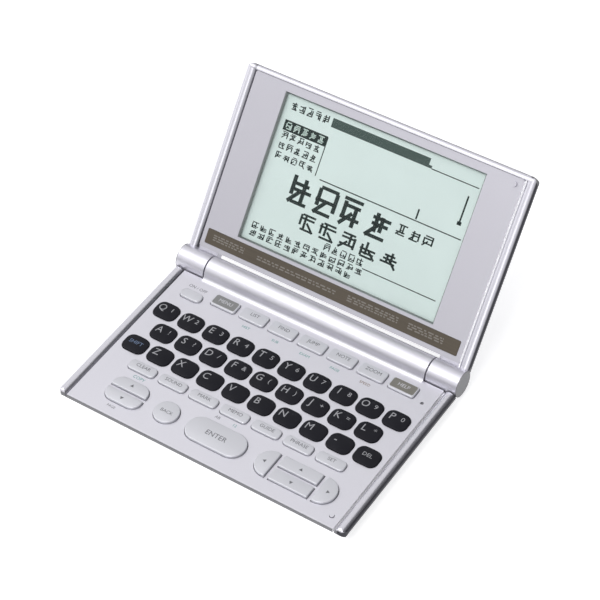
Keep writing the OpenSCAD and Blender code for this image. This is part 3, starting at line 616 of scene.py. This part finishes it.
# ---- Silver keys: power, function row, entry row, page pair, back, enter and the cursor ring. ----
# Moulded in pale plastic, sprayed silver, with small rounded rims and grey or green printing.
material, tree, place = new_material("silver_key_paint")
flakes = grain(place, 5200, 1.0)
cloud = grain(place, 60)
silver = blend(tree, flakes * 0.6 + cloud * 0.4, (0.66, 0.66, 0.70, 1), (0.56, 0.56, 0.60, 1))
key_silver = surface(material, flakes, 4e-6, Metallic=0.35, Roughness=flakes * 0.12 + 0.3, Base_Color=silver)
grey_ink = ink_material("grey_print_ink", (0.10, 0.10, 0.115), (0.14, 0.14, 0.155))
teal_ink = ink_material("teal_print_ink", (0.07, 0.27, 0.26), (0.1, 0.33, 0.31))
brown_ink = ink_material("brown_print_ink", (0.16, 0.085, 0.05), (0.2, 0.11, 0.07))
mid_grey = ink_material("grey_key_panel", (0.25, 0.25, 0.25), (0.2, 0.2, 0.2))
olive = ink_material("olive_key_panel", (0.22, 0.21, 0.185), (0.16, 0.152, 0.13))


def silver_cap(width, depth, top, radius, cuts=()):
    """A cap; for a key cut from a bigger outline, cuts is (place in millimetres, direction out of what stays)."""
    piece = block(width, depth, UNDER_DECK, DECK + top, radius, 10)
    for place, outward in cuts:
        bpy.ops.object.mode_set(mode="EDIT")
        bpy.ops.mesh.select_all(action="SELECT")
        bpy.ops.mesh.bisect(plane_co=Vector(place) * MM, plane_no=outward, use_fill=True, clear_outer=True)
        bpy.ops.object.mode_set(mode="OBJECT")
    round_rim(piece, 0.38, 4)
    smooth(piece)
    piece.data.materials.append(key_silver)
    return piece


def printed(words, size, x, y, height, ink):
    text = lettering(words, size, x, y)
    thicken(text, INK_THICK)
    text.data.transform(Matrix.Translation((0, 0, (height + INK_LIFT) * MM)))
    text.data.materials.append(ink)
    return text


def arrow(x, y, turn, height):
    """A small solid triangle pointing along turn degrees from +X."""
    piece = start("circle", vertices=3, radius=0.95 * MM, fill_type="NGON",
                  location=(x * MM, y * MM, (height + INK_LIFT) * MM), rotation=(0, 0, math.radians(turn - 90)))
    done(piece, "arrow")
    thicken(piece, INK_THICK)
    piece.data.materials.append(grey_ink)
    return piece


def centre_of(name):
    low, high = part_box(name)
    return (low.x + high.x) / 2 / MM, (low.y + high.y) / 2 / MM


def settle(piece, name):
    piece.name = piece.data.name = name.replace("_keys", "_row").replace("_key", "_cap")
    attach(piece, name)
    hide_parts(name)


def shift(piece, x, y):
    piece.data.transform(Matrix.Translation((x * MM, y * MM, 0)))
    return piece


PAD_TOP, FUNCTION_TOP, ENTRY_TOP = 1.15, 1.0, 0.9
PAD, FUNCTION, ENTRY = DECK + PAD_TOP, DECK + FUNCTION_TOP, DECK + ENTRY_TOP
x, y = centre_of("power_key")
settle(shift(silver_cap(10.6, 5.0, FUNCTION_TOP, 2.3), x, y), "power_key")
for name, width, depth, radius, words, size in (("back_key", 11.2, 11.2, 5.55, "BACK", 2.3),
                                                ("enter_key", 28.4, 12.6, 6.25, "ENTER", 3.4)):
    x, y = centre_of(name)
    cap = shift(silver_cap(width, depth, PAD_TOP, radius), x, y)
    settle(join(cap, [printed(words, size, x, y, PAD, grey_ink)]), name)
for name, side in (("page_up_key", 1), ("page_down_key", -1)):
    x, y = centre_of(name)
    cap = silver_cap(17.6, 13.2, PAD_TOP, 4.6, [((0, side * 0.8, 0), (0, -side, 0))])
    cap = shift(cap, x, y - side * 3.7)
    settle(join(cap, [arrow(x, y, 90 * side, PAD)]), name)
for name, side in (("cursor_right_key", 1), ("cursor_left_key", -1)):
    x, y = centre_of(name)
    cap = silver_cap(37.8, 13.2, PAD_TOP, 6.5, [((side * 11.2, 0, 0), (-side, 0, 0))])
    cap = shift(cap, x - side * 15.05, y)
    settle(join(cap, [arrow(x, y, 90 - 90 * side, PAD)]), name)
for name, side in (("cursor_up_key", 1), ("cursor_down_key", -1)):
    x, y = centre_of(name)
    cap = shift(silver_cap(18.6, 5.8, PAD_TOP, 0.6), x, y)
    settle(join(cap, [arrow(x, y, 90 * side, PAD)]), name)

BACK_LINE = HINGE.y / MM
PANEL_THICK = 0.008
row = []
for i, words in enumerate(("MENU", "LIST", "FIND", "JUMP", "NOTE", "ZOOM", "HELP")):
    x = -38.6 + 14.9 * i
    cap = shift(silver_cap(12.6, 6.3, FUNCTION_TOP, 1.3), x, BACK_LINE - 13.9)
    if i in (0, 6):
        panel = block(11.4, 5.0, FUNCTION - 0.2, FUNCTION + PANEL_THICK, 0.9, 5)
        panel.data.materials.append(mid_grey if i == 0 else olive)
        row += [cap, shift(panel, x, BACK_LINE - 13.7)]
        row.append(printed(words, 2.5, x, BACK_LINE - 13.6, FUNCTION + PANEL_THICK, key_silver))
    else:
        row += [cap, printed(words, 2.5, x, BACK_LINE - 13.2, FUNCTION, grey_ink)]
settle(join(row[0], row[1:]), "function_keys")
row = []
for i, words in enumerate(("CLEAR", "SOUND", "MARK", "MEMO", "GUIDE", "PHRASE", "SET")):
    x = 15.6 * (i - 3)
    row.append(shift(silver_cap(13.4, 5.2, ENTRY_TOP, 1.9), x, BACK_LINE - 62.2))
    row.append(printed(words, 2.4, x, BACK_LINE - 61.7, ENTRY, grey_ink))
settle(join(row[0], row[1:]), "entry_keys")

# ---- Printing on the deck: small captions in grey, green and brown ink beside the silver keys. ----
# Pad-printed on the painted deck, a hair thick; all of them are one piece.
captions = []
for words, size, x, down, ink in (
        ("ON / OFF", 2.2, -54.2, 12.3, grey_ink),
        ("HIST", 1.9, -23.7, 20.2, teal_ink), ("SUB", 1.9, -8.8, 20.2, teal_ink),
        ("EXAM", 1.9, 6.1, 20.2, teal_ink), ("PAGE", 1.9, 21.0, 20.2, teal_ink),
        ("SPEED", 1.9, 35.9, 20.2, brown_ink),
        ("COPY", 2.2, -45.2, 67.1, teal_ink), ("AB", 2.0, -5.2, 67.1, grey_ink),
        ("12", 2.0, 3.2, 67.1, teal_ink), ("PAGE", 1.7, -46, 85.3, grey_ink)):
    captions.append(printed(words, size, x, BACK_LINE - down, DECK, ink))
captions = join(captions[0], captions[1:])
captions.name = captions.data.name = "deck_captions"
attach(captions, "base")
